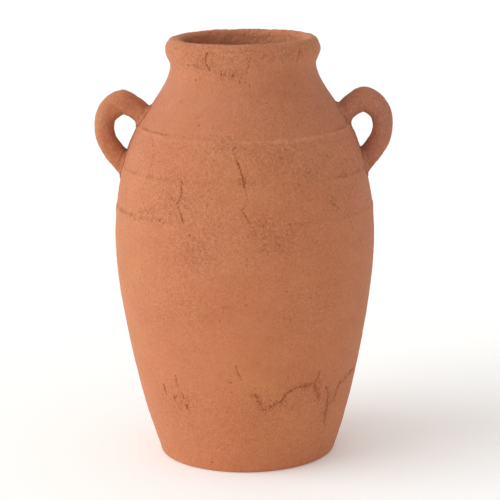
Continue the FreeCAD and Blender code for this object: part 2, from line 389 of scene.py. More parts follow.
class Skin:
    """A grid over a surface of revolution: rows run along the outline, columns round the jar."""

    def __init__(self, outline):
        self.outline = outline
        self.along = np.concatenate([[0], np.cumsum(np.linalg.norm(np.diff(outline, axis=0), axis=1))])
        slope = np.gradient(outline, axis=0)
        slope /= np.linalg.norm(slope, axis=1)[:, None]
        self.normal = np.stack([slope[:, 1], -slope[:, 0]], axis=1)
        self.angles = np.arange(COLUMNS) * 360.0 / COLUMNS - 180.0
        bearing = np.radians(self.angles - 90.0)
        self.cos = np.cos(bearing)
        self.sin = np.sin(bearing)
        self.relief = np.zeros((len(outline), COLUMNS))
        self.crack = np.zeros_like(self.relief)
        self.pale = np.zeros_like(self.relief)
        self.sand = np.ones_like(self.relief)
        self.torn = np.zeros_like(self.relief)
        self.lift = np.zeros_like(self.relief)

    def points(self):
        radius = self.outline[:, :1] + self.relief * self.normal[:, :1]
        height = self.outline[:, 1:] + self.relief * self.normal[:, 1:] + self.lift
        return np.stack([radius * self.cos, radius * self.sin, height], axis=-1)

    def base_points(self):
        radius = self.outline[:, :1]
        height = np.repeat(self.outline[:, 1:], COLUMNS, axis=1)
        return np.stack([radius * self.cos, radius * self.sin, height], axis=-1)

    def row_at(self, height):
        """First row of the outline that reaches a height."""
        return int(np.argmax(self.outline[:, 1] >= height))

    def along_at(self, height):
        return self.along[self.row_at(height)]

    def radius_at(self, along):
        return np.interp(along, self.along, self.outline[:, 0])

    def turn_from(self, angle):
        """Degrees round the jar from an angle to each column, -180 to 180."""
        return (self.angles - angle + 180.0) % 360.0 - 180.0

    def at_back(self):
        """1 at the back of the jar, fading towards its sides."""
        return bell(self.angles % 360.0 - 180.0, 45.0)[None, :]

    def window(self, angle, along, reach):
        """Rows, columns and distances in metres from a place on the skin."""
        rows = np.nonzero(np.abs(self.along - along) <= reach)[0]
        if len(rows) == 0:
            return None
        radius = self.outline[rows, 0]
        half = int(math.ceil(reach / (2 * math.pi * radius.min() / COLUMNS))) + 1
        centre = int(round((angle + 180.0) / 360.0 * COLUMNS))
        columns = np.arange(centre - half, centre + half + 1)
        turn = np.radians(columns * 360.0 / COLUMNS - 180.0 - angle)
        across = turn[None, :] * radius[:, None]
        up = (self.along[rows] - along)[:, None] + 0 * across
        return rows, columns % COLUMNS, across, up

    def press(self, window, depth, dark):
        """Sinks the skin by a depth and darkens it, keeping the deeper of two marks."""
        rows, columns = window[0], window[1]
        box = np.ix_(rows, columns)
        before = self.crack[box]
        self.relief[box] -= np.maximum(depth - before, 0)
        self.crack[box] = np.maximum(before, depth * dark)


def rim_outline(groove):
    """The rolled rim: from the groove round the roll and the crest, down to the foot of the mouth."""
    crest = (MOUTH_RADIUS + CREST_RADIUS, TOP - CREST_RADIUS)
    reach = (ROLL_RADIUS - CREST_RADIUS) / math.sqrt(2)
    roll = (crest[0] - reach, crest[1] - reach)
    start = math.degrees(math.atan2(groove[1] - roll[1], groove[0] - roll[0]))
    over = arc(roll, ROLL_RADIUS, start, 45) + arc(crest, CREST_RADIUS, 45, 180)[1:]
    return over + [(MOUTH_RADIUS, crest[1] - MOUTH_DEPTH)]


def wall_outline(segments, low, high, outer):
    """A faired outline of the wall between two heights, without the small ledges."""
    knots = np.linspace(low + 1 * MM, high - 1 * MM, 60)
    tops = np.array([JOINTS[name] for name in ("belly", "shoulder", "neck")])
    clear = [k for k in knots if not np.any((tops - k > -0.5 * MM) & (tops - k < 7 * MM))]
    radii = np.array([wall_radius(segments, k, outer) for k in clear])
    heights = np.arange(low + 0.5 * MM, high - 0.2 * MM, 0.5 * MM)
    return np.stack([fair_curve(np.array(clear), radii, heights), heights], axis=1)


def outside_skin(segments):
    """From the flat of the foot, up the wall, over the rim and down to the foot of the mouth."""
    groove = (NECK_RADIUS, JOINTS["rim"])
    edge = arc((FOOT_RADIUS - FOOT_ROUND, FOOT_ROUND), FOOT_ROUND, -90, 0)
    wall = wall_outline(segments, FOOT_ROUND, groove[1], True)
    outline = spaced(np.concatenate([edge, wall, rim_outline(groove)]), OUTSIDE_STEP)
    return Skin(eased_groove(outline, groove))


def eased_groove(outline, groove):
    """Wipes the sharp corner below the rim into a soft hollow, as a thumb does."""
    near = bell(np.hypot(*(outline - groove).T), GROOVE_REACH)[:, None]
    eased = outline.copy()
    for _ in range(GROOVE_PASSES):
        middle = (eased[:-2] + eased[2:]) / 2
        eased[1:-1] += near[1:-1] * 0.9 * (middle - eased[1:-1])
    return eased


def inside_skin(segments):
    """From the foot of the mouth down to the floor."""
    mouth_foot = (MOUTH_RADIUS, TOP - CREST_RADIUS - MOUTH_DEPTH)
    floor = (floor_radii()[1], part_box("base_disc")[1][2])
    wall = wall_outline(segments, floor[1], mouth_foot[1], False)[::-1]
    return Skin(spaced(np.concatenate([[mouth_foot], wall, [floor]]), INSIDE_STEP))


def press_stroke(skin, angle, along, length, lean, width, depth):
    """A short tear: a row of dents along a line that leans so many degrees from upright."""
    radius = skin.radius_at(along)
    steps = max(2, int(length / (0.6 * MM)))
    for step in range(steps):
        reach = (step / steps - 0.5) * length
        sideways = math.degrees(reach * math.sin(math.radians(lean)) / radius)
        window = skin.window(angle + sideways, along + reach * math.cos(math.radians(lean)), 2.5 * width)
        if window is None:
            return
        fade = 1 - abs(2 * step / steps - 1) ** 2 * 0.6
        distance = np.hypot(window[2], window[3])
        skin.press(window, depth * fade * np.exp(-(distance / width) ** 2 * 1.6), 1.5)


def feather(skin, angle, along, draw):
    """Tears and crumbs beside a place on a torn crack."""
    rows, columns, across, up = skin.window(angle, along, 9 * MM)
    box = np.ix_(rows, columns)
    skin.torn[box] = np.maximum(skin.torn[box], np.exp(-(across ** 2 + up ** 2) / (4 * MM) ** 2))
    radius = skin.radius_at(along)
    aside = math.degrees(draw.normal(0, 2.2) * MM / radius)
    above = draw.normal(0, 2.2) * MM
    if draw.rand() < 0.55:
        length = draw.uniform(1.5, 4.5) * MM
        width = draw.uniform(0.4, 0.6) * MM
        lean = draw.choice([-1, 1]) * draw.uniform(5, 60)
        press_stroke(skin, angle + aside, along + above, length, lean, width, draw.uniform(0.35, 0.75) * MM)
    else:
        size = draw.uniform(0.5, 0.9) * MM
        press_pit(skin, angle + aside, along + above, size, size * draw.uniform(0.4, 0.8), 1.1, draw)


def press_crack(skin, start, end, width, depth, torn, draw):
    """A wavering crack between two places, as a row of overlapping dents."""
    radius = skin.radius_at(start[1])
    length = math.hypot(math.radians(end[0] - start[0]) * radius, end[1] - start[1])
    steps = max(2, int(length / (0.7 * MM)))
    for step in range(steps):
        t = step / steps
        sway = 0.9 * math.sin(2.4 * step + start[0]) + draw.normal(0, 0.45)
        angle = start[0] + t * (end[0] - start[0]) + math.degrees(sway * 0.5 * MM / radius)
        along = start[1] + t * (end[1] - start[1]) + draw.normal(0, 0.25) * MM
        local = width * MM * (0.38 + 0.3 * draw.rand())
        window = skin.window(angle, along, 3 * local)
        distance = np.hypot(window[2], window[3] * 0.8)
        gaping = 0.85 + 0.25 * math.sin(0.9 * step + end[1] / MM) + 0.3 * draw.rand()
        groove = depth * MM * gaping * np.exp(-(distance / local) ** 2 * 1.6)
        skin.press(window, groove, 1.5)
        if torn:
            feather(skin, angle, along, draw)


def press_cracks(skin, seed):
    """All the cracks; those of the net near the foot are torn as well."""
    draw = np.random.RandomState(seed)
    for name, width, depth, route in CRACKS:
        places = [(angle, skin.along_at(height * MM)) for angle, height in route]
        for start, end in zip(places, places[1:]):
            press_crack(skin, start, end, width, depth, name.startswith("net"), draw)


def press_pit(skin, angle, along, radius, depth, dark, draw):
    window = skin.window(angle, along, 1.6 * radius)
    if window is None:
        return
    turn = np.arctan2(window[3], window[2])
    shape = 1 + 0.28 * np.sin(2 * turn + draw.rand() * 6.3) + 0.16 * np.sin(3 * turn + draw.rand() * 6.3)
    distance = np.hypot(window[2], window[3]) / (radius * shape)
    skin.press(window, depth * smooth_step(1.15, 0.35, distance), dark)


def press_pits(skin, seed):
    """The larger pits, those of the coarse patches, and lone small ones everywhere."""
    draw = np.random.RandomState(seed)
    for angle, height, radius, depth in PITS:
        place = skin.along_at(height * MM)
        press_pit(skin, angle, place, 0.8 * radius * MM, depth * MM, 0.8, draw)
    for angle, height, half_width, half_height, strength in COARSE_PATCHES:
        centre = skin.along_at(height * MM)
        around = skin.radius_at(centre)
        for _ in range(int(PATCH_PITS * strength)):
            sideways = math.degrees(draw.normal(0, 0.5) * half_width * MM / around)
            place = centre + draw.normal(0, 0.5) * half_height * MM
            size = draw.uniform(0.5, 1.0) * MM
            press_pit(skin, angle + sideways, place, size, size * draw.uniform(0.3, 0.6), 0.6, draw)
    for _ in range(LONE_PITS):
        place = draw.uniform(skin.along[0], skin.along[-1])
        size = draw.uniform(0.4, 0.85) * MM
        press_pit(skin, draw.uniform(-180, 180), place, size, size * draw.uniform(0.3, 0.6), 1.1, draw)


def ledge_height(skin, joint):
    """Height of a luted ledge round the jar: no ledge is quite level."""
    turn = np.radians(skin.angles)
    waves = {"neck": 0.9 * np.cos(2 * turn + 2.6) + 0.5 * np.sin(3 * turn + 0.4),
             "shoulder": 1.6 * np.sin(turn + 3.4) + 0.7 * np.cos(2 * turn),
             "belly": 0.6 * np.cos(turn) + 0.6 * np.sin(3 * turn + 1.0)}
    return waves[joint] * MM


def add_ledges(skin, base):
    """Each lower section swells to a proud edge, and the next one starts in a rough crease."""
    strengths = {"belly": 0.6, "shoulder": 0.65, "neck": 0.9}
    patchy = np.clip(0.62 + 0.75 * noise(base, 42 * MM, 35) + 0.35 * noise(base, 15 * MM, 36), 0.1, 1.3)
    ragged = 1 + 0.3 * noise(base, 9 * MM, 31)
    rough = np.clip(0.35 + 0.9 * noise(base, 3.6 * MM, 33) + 0.4 * noise(base, 13 * MM, 34), 0, 1.3)
    for joint, strength in strengths.items():
        above = (skin.along - skin.along_at(JOINTS[joint]))[:, None] + np.zeros((1, COLUMNS))
        rise = smooth_step(-LEDGE_RISE, -1.6 * MM, above) * (above <= 0)
        fall = smooth_step(LEDGE_FALL, 0, above) * (above > 0)
        skin.relief += LEDGE * strength * patchy * ragged * (rise + fall)
        bearings, creased, highlight_strength = np.array(SEAMS[joint]).T
        creased = np.interp(skin.angles, bearings, creased)[None, :]
        highlight_strength = np.interp(skin.angles, bearings, highlight_strength)[None, :]
        crease = bell(above - 1.8 * MM, 1.2 * MM)
        depth = 0.42 * MM * strength * creased * rough * crease
        skin.relief -= depth
        # Painted shade in the crease, broken into flecks around it
        skin.crack = np.maximum(skin.crack, depth * 0.7)
        skin.torn = np.maximum(skin.torn, 0.7 * creased * bell(above - 1 * MM, 3 * MM))
        # Painted highlight: a pale band along the proud edge just below each seam
        edge_highlight = bell(above + 1.8 * MM, 2.2 * MM)
        broken_highlight = np.clip(0.6 + 0.6 * rough - 0.3, 0.15, 1)
        skin.pale = np.maximum(skin.pale, edge_highlight * strength * highlight_strength * broken_highlight)
        spread = bell(above, 14 * MM)
        skin.lift += spread * ledge_height(skin, joint)[None, :]


def coarse_mask(skin):
    """Where the surface is torn and sandy, from 0 to about 1."""
    mask = np.zeros_like(skin.relief)
    for angle, height, half_width, half_height, strength in COARSE_PATCHES:
        place = skin.along_at(height * MM)
        around = skin.radius_at(place)
        across = np.radians(skin.turn_from(angle)) * around / (half_width * MM)
        up = (skin.along - place) / (half_height * MM)
        mask = np.maximum(mask, strength * np.exp(-across[None, :] ** 2 - up[:, None] ** 2))
    return mask


def mouth_lip(skin):
    """1 outside the mouth, falling to 0 down its inner face."""
    return smooth_step(skin.along[-1] - 15 * MM, skin.along[-1] - 22 * MM, skin.along)[:, None]


def shape_wall(skin, base, rim):
    """Slow waves, throwing rings, upright streaks and the grit of the sandy clay."""
    foot = smooth_step(0.0, 12 * MM, skin.along)[:, None]
    height = skin.outline[:, 1:]
    slow = layered(base, (0.55, 95, 1), (0.28, 38, 2))
    rings = layered(drawn_out(base, 0.16, 1.0), (0.11, 8, 3), (0.06, 3.4, 4))
    banded = smooth_step(225 * MM, 250 * MM, height) * smooth_step(325 * MM, 312 * MM, height)
    coarse = coarse_mask(skin)
    skin.torn = 0.45 * coarse + 0.5 * rim * np.clip(noise(base, 11 * MM, 17), 0, 1)
    sandy = 0.7 + 0.4 * noise(base, 55 * MM, 10) + 0.7 * coarse + 0.8 * rim + 0.4 * banded
    skin.sand = np.clip(sandy, 0.3, 1.6)
    grit = layered(base, (0.10, 4.6, 5), (0.11, 2.6, 6))
    streaks = layered(drawn_out(base, 1.0, 0.1), (0.06, 5, 13))
    skin.relief += MM * foot * (slow * (1 - 0.3 * rim) + rings + streaks + skin.sand * grit)


def shape_rim(skin, base, rim):
    """Dents, rubbed clay and painted light on the rolled rim, which leans out over the left handle."""
    dented = layered(base, (0.3, 24, 8), (0.12, 9, 9), (0.17, 3.4, 18))
    scuffs = layered(drawn_out(base, 0.22, 1.0), (0.2, 2.4, 14))
    skin.relief += MM * rim * (dented + scuffs)
    # Painted light on the underside of the roll
    under_roll = bell(skin.outline[:, 1:] - 381 * MM, 6 * MM) * rim
    skin.pale = rim * 0.4 * np.clip(noise(base, 14 * MM, 15), 0, 1) + 0.5 * under_roll
    # Painted light on the inner face of the mouth at the back
    skin.pale += 0.7 * (1 - mouth_lip(skin)) * skin.at_back()
    lean = bell(skin.angles + 92.0, 34.0)[None, :]
    lip = smooth_step(skin.along[-1] - 24 * MM, skin.along[-1] - 16 * MM, skin.along)[:, None]
    skin.relief += RIM_LEAN * lean * lip


def smear_beside_handles(skin, base):
    """Upright finger smears on the wall behind both handles."""
    height = skin.outline[:, 1:]
    level = smooth_step(255 * MM, 270 * MM, height) * smooth_step(345 * MM, 330 * MM, height)
    smears = layered(drawn_out(base, 1.0, 0.14), (0.75, 3.6, 11))
    lumps = layered(base, (0.35, 12, 12))
    for side in (-90.0, 90.0):
        near = bell(skin.turn_from(side), 16.0)[None, :]
        skin.relief += MM * near * level * (smears + lumps)


def shape_outside(skin):
    """Everything that the potter, the fire and the years left on the outside."""
    base = skin.base_points()
    rim = smooth_step(JOINTS["rim"] - 6 * MM, JOINTS["rim"] + 4 * MM, skin.outline[:, 1])[:, None]
    shape_wall(skin, base, rim)
    shape_rim(skin, base, rim)
    smear_beside_handles(skin, base)
    add_ledges(skin, base)
    skin.relief *= smooth_step(skin.along[-1], skin.along[-1] - 7 * MM, skin.along)[:, None]
    press_cracks(skin, 21)
    press_pits(skin, 22)
    skin.torn *= np.clip(0.75 + 0.8 * noise(base, 7 * MM, 16), 0, 1.3)
    skin.relief[-1] = 0.0


def shape_inside(skin):
    """A screw of finger marks, fading out at the mouth and at the floor; painted light makes the inside
    paler.
    """
    base = skin.base_points()
    # Painted light: the whole inside is paler, most of all on its far side
    skin.pale += 0.4 + 0.5 * skin.at_back()
    fade = smooth_step(skin.along[0], skin.along[0] + 8 * MM, skin.along)
    fade = (fade * smooth_step(skin.along[-1], skin.along[-1] - 6 * MM, skin.along))[:, None]
    climb = (skin.along[:, None] + FINGER * skin.angles[None, :] / 360.0) * (2 * math.pi / FINGER)
    rings = layered(drawn_out(base, 0.12, 1.0), (0.4, 12, 41))
    dents = layered(base, (0.5, 40, 42), (0.15, 5, 43))
    skin.relief += MM * fade * (0.5 * np.cos(climb) + rings + dents)


# ---------------------------------------------------------------- meshes

def mesh_object(name, points, quads, triangles, mark, sand):
    """A smooth-shaded mesh, faces outward, that carries its marks and how sandy it is."""
    if signed_volume(points, quads, triangles) < 0:
        quads, triangles = quads[:, ::-1], triangles[:, ::-1]
    mesh = bpy.data.meshes.new(name)
    corner_count = quads.size + triangles.size
    mesh.vertices.add(len(points))
    mesh.vertices.foreach_set("co", points.ravel())
    mesh.loops.add(corner_count)
    mesh.loops.foreach_set("vertex_index", np.concatenate([quads.ravel(), triangles.ravel()]))
    sizes = np.concatenate([np.full(len(quads), 4), np.full(len(triangles), 3)])
    mesh.polygons.add(len(sizes))
    mesh.polygons.foreach_set("loop_start", np.concatenate([[0], np.cumsum(sizes)[:-1]]))
    mesh.polygons.foreach_set("use_smooth", np.ones(len(sizes), dtype=bool))
    mesh.update(calc_edges=True)
    mesh.validate()
    mesh.set_sharp_from_angle(angle=SHARP_EDGE)
    for word, values in (("mark", mark), ("sand", sand)):
        attribute = mesh.attributes.new(word, "FLOAT", "POINT")
        attribute.data.foreach_set("value", values.ravel().astype(np.float32))
    piece = bpy.data.objects.new(name, mesh)
    bpy.context.collection.objects.link(piece)
    return piece


def signed_volume(points, quads, triangles):
    corners = np.concatenate([quads[:, [0, 1, 2]], quads[:, [0, 2, 3]], triangles])
    a, b, c = points[corners[:, 0]], points[corners[:, 1]], points[corners[:, 2]]
    return np.einsum("ij,ij->i", a, np.cross(b, c)).sum() / 6


def grid_quads(rows, columns, closed_rows):
    first = np.arange(rows if closed_rows else rows - 1)
    column = np.arange(columns)
    a, b = np.meshgrid(first, column, indexing="ij")
    next_row, next_column = (a + 1) % rows, (b + 1) % columns
    return np.stack([a * columns + b, a * columns + next_column,
                     next_row * columns + next_column, next_row * columns + b], axis=-1).reshape(-1, 4)


def looped_piece(name, points, mark, sand):
    """A ring of clay from a grid whose last row closes on its first."""
    quads = grid_quads(*mark.shape, True)
    return mesh_object(name, points.reshape(-1, 3), quads, np.empty((0, 3), dtype=int), mark, sand)


def capped_piece(name, points, mark, sand):
    """A closed tube from a grid of rings, with a pole at each end."""
    rows, columns = mark.shape
    poles = np.stack([points[0].mean(axis=0), points[-1].mean(axis=0)])
    column = np.arange(columns)
    following = (column + 1) % columns
    last = (rows - 1) * columns
    pole = np.full(columns, rows * columns)
    start = np.stack([following, column, pole], axis=1)
    end = np.stack([last + column, last + following, pole + 1], axis=1)
    mark = np.concatenate([mark.ravel(), [0.0, 0.0]])
    return mesh_object(name, np.concatenate([points.reshape(-1, 3), poles]),
                       grid_quads(rows, columns, False), np.concatenate([start, end]),
                       mark, np.full(len(mark), sand))


def wall_piece(name, bands):
    """A section of the wall from its bands of rows, thinned to the face limit."""
    points, mark, sand = (np.concatenate([band[part] for band in bands]) for part in range(3))
    piece = looped_piece(name, points, mark, sand)
    limit_faces(piece, 2 * mark.size)
    return piece


def limit_faces(piece, triangle_count):
    if triangle_count <= FACE_LIMIT:
        return
    thin = piece.modifiers.new("thin", "DECIMATE")
    thin.ratio = FACE_LIMIT / triangle_count
    depsgraph = bpy.context.evaluated_depsgraph_get()
    mesh = bpy.data.meshes.new_from_object(piece.evaluated_get(depsgraph))
    piece.modifiers.clear()
    old = piece.data
    piece.data = mesh
    bpy.data.meshes.remove(old)
    mesh.polygons.foreach_set("use_smooth", np.ones(len(mesh.polygons), dtype=bool))
    mesh.set_sharp_from_angle(angle=SHARP_EDGE)


def skin_band(skin, first, last):
    """Points, marks and sandiness of the rows of a skin from first to last."""
    rows = slice(first, last + 1)
    mark = np.maximum(skin.crack[rows] / MM, TORN_MARK * skin.torn[rows]) - skin.pale[rows]
    return skin.points()[rows], mark, skin.sand[rows]


def plain_band(points):
    return points, np.zeros(points.shape[:2]), np.ones(points.shape[:2])


def joint_band(start, end, key):
    """Rows of a keyed joint between two rings of points, without its ends."""
    middle = (start + end) / 2 + np.array([0, 0, key])
    steps = [(start + middle) / 2, middle, (middle + end) / 2]
    return np.stack(steps)


def dress(piece, node, material):
    piece.data.materials.clear()
    piece.data.materials.append(material)
    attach(piece, "root")
    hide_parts(node)


def wall_sections(outside, inside, material):
    """The four stacked wall sections, each from its rows of both skins."""
    out, inn = outside.points(), inside.points()
    cut_out = {name: outside.row_at(height) for name, height in JOINTS.items()}
    cut_in = {name: int(np.argmin(np.abs(inside.outline[:, 1] - height)))
              for name, height in JOINTS.items() if name != "rim"}
    cut_in["rim"] = 0
    joints = {name: joint_band(out[cut_out[name]], inn[cut_in[name]], KEY_HEIGHT) for name in JOINTS}
    order = ["belly", "shoulder", "neck", "rim"]
    nodes = ["belly_band", "shoulder_band", "neck_cone"]
    for node, low, high in zip(nodes, order, order[1:]):
        bands = [skin_band(outside, cut_out[low], cut_out[high]), plain_band(joints[high]),
                 skin_band(inside, cut_in[high], cut_in[low]), plain_band(joints[low][::-1])]
        dress(wall_piece(node + "_clay", bands), node, material)

    bands = [skin_band(outside, cut_out["rim"], len(out) - 1), plain_band(joints["rim"][::-1])]
    dress(wall_piece("rim_roll_clay", bands), "rim_roll", material)

    bands = [skin_band(outside, 0, cut_out["belly"]), plain_band(joints["belly"]),
             skin_band(inside, cut_in["belly"], len(inn) - 1), plain_band(floor_seat())]
    dress(wall_piece("lower_wall_clay", bands), "lower_wall", material)


def circle_rows(pairs):
    bearing = np.radians(np.arange(COLUMNS) * 360.0 / COLUMNS - 270.0)
    rows = [np.stack([r * np.cos(bearing), r * np.sin(bearing), z + 0 * bearing], axis=1) for r, z in pairs]
    return np.stack(rows)


def floor_seat():
    """Bevelled seat of the floor in the lower wall, and the flat ring of the foot outside it."""
    low, high = floor_radii()
    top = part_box("base_disc")[1][2]
    return circle_rows([(low + (high - low) * t, top * t) for t in (0.66, 0.33, 0.0)])


def floor_radii():
    """Radius of the bottom edge and of the top edge of the floor slab."""
    points = node_vertices("base_disc")
    radius = np.hypot(points[:, 0], points[:, 1])
    low = radius[points[:, 2] < 1 * MM].max()
    return low, radius.max()


def floor_disc(material):
    """The floor slab: a spiral left by the wheel above, a plain scraped face below."""
    low, high = floor_radii()
    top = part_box("base_disc")[1][2]
    radii = np.linspace(FLOOR_EYE, high, FLOOR_RINGS[1])[::-1]
    upper = circle_rows([(r, top) for r in radii])
    bearing = np.arange(COLUMNS) / COLUMNS
    fade = smooth_step(0, 5 * MM, high - radii)[:, None]
    spiral = np.cos(2 * math.pi * (radii[:, None] / (8 * MM) + bearing[None, :]))
    upper[..., 2] += MM * fade * (0.55 * spiral + 0.4 * noise(upper, 18 * MM, 51) - 0.6)
    lower = circle_rows([(r, 0.0) for r in np.linspace(FLOOR_EYE, low, FLOOR_RINGS[0])])
    inset = 0.35 * smooth_step(0, 6 * MM, low - np.hypot(lower[..., 0], lower[..., 1]))
    lower[..., 2] += MM * inset * (1 + 0.6 * noise(lower, 14 * MM, 52))
    points = np.concatenate([lower, upper])
    piece = capped_piece("base_disc_clay", points, np.zeros(points.shape[:2]), 1.0)
    dress(piece, "base_disc", material)


# ---------------------------------------------------------------- handles

class Handle:
    """A pulled roll of clay in the XZ plane, from its upper root to its lower root."""

    def __init__(self, side):
        self.side = side
        stations = np.array(HANDLE_STATIONS) * MM
        gaps = np.linalg.norm(np.diff(stations[:, :2], axis=0), axis=1)
        self.knots = np.concatenate([[0], np.cumsum(gaps)])
        self.length = self.knots[-1]
        self.stations = stations

    def frame_at(self, t):
        centre = np.stack([fair_curve(self.knots, self.stations[:, i], t) for i in (0, 1)], axis=-1)
        step = 0.2 * MM
        later = np.stack([fair_curve(self.knots, self.stations[:, i], t + step) for i in (0, 1)], axis=-1)
        forward = (later - centre) / np.linalg.norm(later - centre, axis=-1)[..., None]
        half_thick = fair_curve(self.knots, self.stations[:, 2], t) / 2
        half_wide = fair_curve(self.knots, self.stations[:, 3], t) / 2
        return centre, forward, half_thick, half_wide

    def surface(self, t, turn, proud=0.0):
        """Point at a distance along the roll and an angle round it; 0 is the outer side."""
        centre, forward, half_thick, half_wide = self.frame_at(t)
        out = np.cos(turn)
        wide = np.sin(turn)
        blunt = (np.abs(out) ** BLUNTNESS + np.abs(wide) ** BLUNTNESS) ** (-1 / BLUNTNESS)
        x = centre[..., 0] + (half_thick * blunt + proud) * out * -forward[..., 1]
        z = centre[..., 1] + (half_thick * blunt + proud) * out * forward[..., 0]
        y = (half_wide * blunt + proud) * wide
        points = np.stack([x, y, z], axis=-1)
        return points * np.array([self.side, 1.0, 1.0])

    def kneaded(self, t, turn, proud=0.0):
        """The surface with the dents of the hand that smoothed it."""
        plain = self.surface(t, turn)
        seed = 60 if self.side > 0 else 70
        dents = layered(plain, (0.6, 26, seed), (0.35, 11, seed + 1),
                        (0.20, 4.5, seed + 2), (0.10, 2.2, seed + 3))
        for x, y, z, radius, rise in CRUMBS:
            away = np.linalg.norm(plain - np.array([x, y, z]) * MM, axis=-1)
            dents += rise * bell(away, radius * MM)
        return self.surface(t, turn, MM * dents + proud)


class WallTable:
    """Radius of the finished wall by height and bearing, for pieces that lie on it."""

    def __init__(self, skin):
        self.heights = np.arange(TABLE_LOW, TABLE_HIGH, TABLE_STEP)
        points = skin.points()[:skin.row_at(JOINTS["rim"])]
        radii = np.hypot(points[..., 0], points[..., 1])
        self.radii = np.stack([np.interp(self.heights, points[:, column, 2], radii[:, column])
                               for column in range(COLUMNS)], axis=1)

    def radius(self, points):
        bearing = np.degrees(np.arctan2(points[..., 1], points[..., 0])) + 270.0
        across = (bearing / 360.0 * COLUMNS) % COLUMNS
        up = np.clip((points[..., 2] - self.heights[0]) / TABLE_STEP, 0, len(self.heights) - 2)
        row, column = np.floor(up).astype(int), np.floor(across).astype(int)
        right = (column + 1) % COLUMNS
        u, v = up - row, across - column
        low = self.radii[row, column % COLUMNS] * (1 - v) + self.radii[row, right] * v
        high = self.radii[row + 1, column % COLUMNS] * (1 - v) + self.radii[row + 1, right] * v
        return low * (1 - u) + high * u

    def buried(self, points):
        return np.hypot(points[..., 0], points[..., 1]) < self.radius(points)

    def laid_on(self, points, proud):
        scale = (self.radius(points) + proud) / np.hypot(points[..., 0], points[..., 1])
        return points * np.stack([scale, scale, np.ones_like(scale)], axis=-1)


def root_line(handle, turn, upper, wall):
    """Distances along the roll at which it meets the wall, for each angle round it."""
    inner = np.full(turn.shape, 0.0 if upper else handle.length)
    outer = np.full(turn.shape, handle.length * (0.3 if upper else 0.62))
    for _ in range(ROOT_HALVINGS):
        middle = (inner + outer) / 2
        buried = wall.buried(handle.surface(middle, turn))
        inner = np.where(buried, middle, inner)
        outer = np.where(buried, outer, middle)
    return outer


def crease_share(turn):
    """The crease is deepest on the side that faces the eye, where no finger could close it."""
    return 0.4 + 0.6 * np.clip(-np.cos(turn), 0, 1)


def luting_spread(root, turn, upper):
    """How much the clay hangs below the roll, and how far it is spread on the roll and the wall."""
    sideways = np.abs(np.sin(turn))
    outer = np.clip(np.cos(turn), 0, 1)
    under = np.clip(-np.cos(turn), 0, 1) * (1.0 if upper else 0.4)
    uneven = layered(root, (1.0, 6, 81 if upper else 82), (0.5, 2.5, 85))
    on_roll = MM * (1.8 + 2.4 * sideways + 1.4 * outer + 1.6 * under + 1.0 * uneven)
    on_wall = MM * (1.3 + 1.3 * sideways + 1.2 * outer + 2.2 * under + 0.9 * uneven)
    return under, on_roll, on_wall


def luting_fillet(root, outward, roll_edge, wall_edge, under):
    """The lumpy face of the luting, a curve from the roll to the wall at each angle."""
    steps = np.linspace(0, 1, LUTING_STEPS)[:, None, None]
    corner = root + (0.12 + 0.12 * under[:, None]) * (roll_edge + wall_edge - 2 * root)
    fillet = (1 - steps) ** 2 * roll_edge + 2 * steps * (1 - steps) * corner + steps ** 2 * wall_edge
    arch = (4 * steps * (1 - steps))[..., 0]
    lumps = layered(fillet, (1.0, 5, 83), (0.6, 2.2, 84))
    return fillet + outward[None] * (MM * 0.6 * arch * lumps)[..., None]


def luting_piece(name, handle, upper, gap, wall):
    """Clay smeared into the corner between the roll and the wall, ending in a ragged lip."""
    turn = full_turn(LUTING_AROUND)
    meet = root_line(handle, turn, upper, wall)
    root = handle.surface(meet, turn)
    outward = root - handle.surface(meet, turn, -8 * MM)
    outward /= np.linalg.norm(outward, axis=1)[:, None]
    under, on_roll, on_wall = luting_spread(root, turn, upper)
    roll_end = meet + (1 if upper else -1) * on_roll
    reach = root + outward * on_wall[:, None]
    roll_edge = handle.kneaded(roll_end, turn, 0.08 * MM)
    wall_edge = wall.laid_on(reach, 0.8 * MM)
    fillet = luting_fillet(root, outward, roll_edge, wall_edge, under)

    lip = wall.laid_on(reach + outward * 0.35 * MM, 0.2 * MM)
    under_wall = wall.laid_on(reach, -1.2 * MM)
    deep = wall.laid_on(root, -2.0 * MM)
    under_roll = handle.surface(roll_end, turn, -1.0 * MM)
    back = np.stack([lip, under_wall, deep, (deep + under_roll) / 2, under_roll])
    points = np.concatenate([fillet, back])

    # Painted shade in the crease: the rows at the lip, next to the wall, are darkened
    mark = np.zeros(points.shape[:2])
    broken = np.clip(0.75 + 0.7 * noise(root, 4 * MM, 86), 0, 1) * crease_share(turn)
    first = LUTING_STEPS - 5
    mark[first:first + len(LIP_SHADE)] = np.array(LIP_SHADE)[:, None] * gap * broken
    return looped_piece(name, points, mark, np.full(mark.shape, LUTING_SAND))


def score_roots(skin, wall):
    """Presses the tool line that runs round each root into the wall, darkened with painted shade."""
    turn = full_turn(SCORE_POINTS)
    for word, side in SIDES.items():
        handle = Handle(side)
        for root, upper in ROOTS.items():
            gap = ROOT_GAPS[word + "_" + root + "_luting"]
            points = handle.surface(root_line(handle, turn, upper, wall), turn, 1.6 * MM)
            broken = np.clip(0.7 + 0.8 * noise(points, 6 * MM, 87), 0.1, 1.2) * crease_share(turn)
            for (x, y, z), strength in zip(points, broken):
                angle = math.degrees(math.atan2(y, x)) + 90.0
                window = skin.window(angle, skin.along_at(z), 3 * MM)
                distance = np.hypot(window[2], window[3])
                depth = 0.7 * MM * gap * strength * bell(distance, 1.1 * MM)
                skin.press(window, depth, 1.5)


def root_shade(handle, points, wall):
    """Painted shade on the roll near its roots, where it meets the wall, heavier low on the right handle.
    """
    off_wall = np.hypot(points[..., 0], points[..., 1]) - wall.radius(points)
    low = smooth_step(310 * MM, 280 * MM, points[..., 2]) * (handle.side > 0)
    near = np.exp(-np.clip(off_wall, 0, None) / ((5 + 5 * low) * MM))
    amount = 0.30 + 0.35 * low
    return amount * near * np.clip(0.8 + 0.7 * noise(points, 7 * MM, 88), 0, 1.3)


